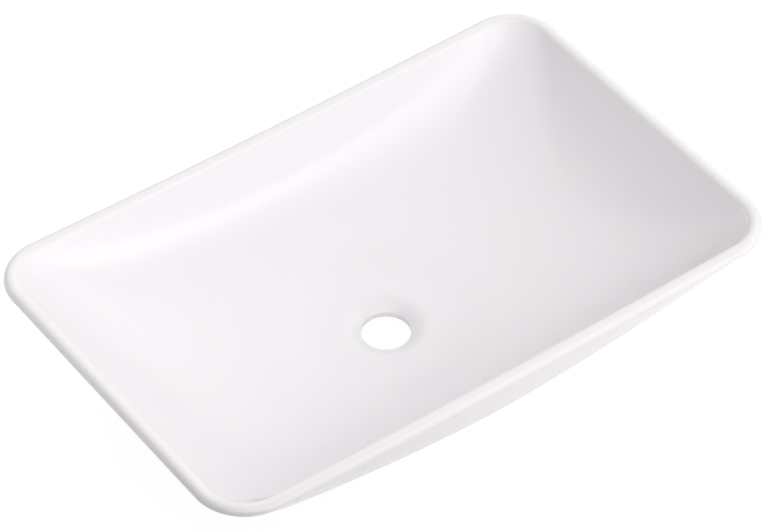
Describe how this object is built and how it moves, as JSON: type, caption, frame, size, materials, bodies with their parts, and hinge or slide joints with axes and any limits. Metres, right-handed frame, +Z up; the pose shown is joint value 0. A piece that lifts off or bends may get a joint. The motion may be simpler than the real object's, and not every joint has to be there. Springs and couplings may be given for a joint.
{
  "type": "countertop vessel basin",
  "caption": "Rectangular ceramic vessel basin with rounded corners, a thin rolled rim, a dished bowl and a bare waste hole; it stands on a countertop on its foot ring",
  "frame": {"origin": "centre of the foot's standing face, on the countertop, under the middle of the waste hole", "axes": "+X along the basin's length, +Y from its front edge to its back edge, +Z up"},
  "size_m": [0.6, 0.385, 0.122],
  "materials": {
    "glazed_ceramic": "white vitreous glaze, smooth and glossy",
    "bare_ceramic": "unglazed fired clay, matt, slightly rough"
  },
  "bodies": {
    "root": {"basin_body": "glazed_ceramic", "foot_ring": "bare_ceramic"}
  },
  "joints": []
}
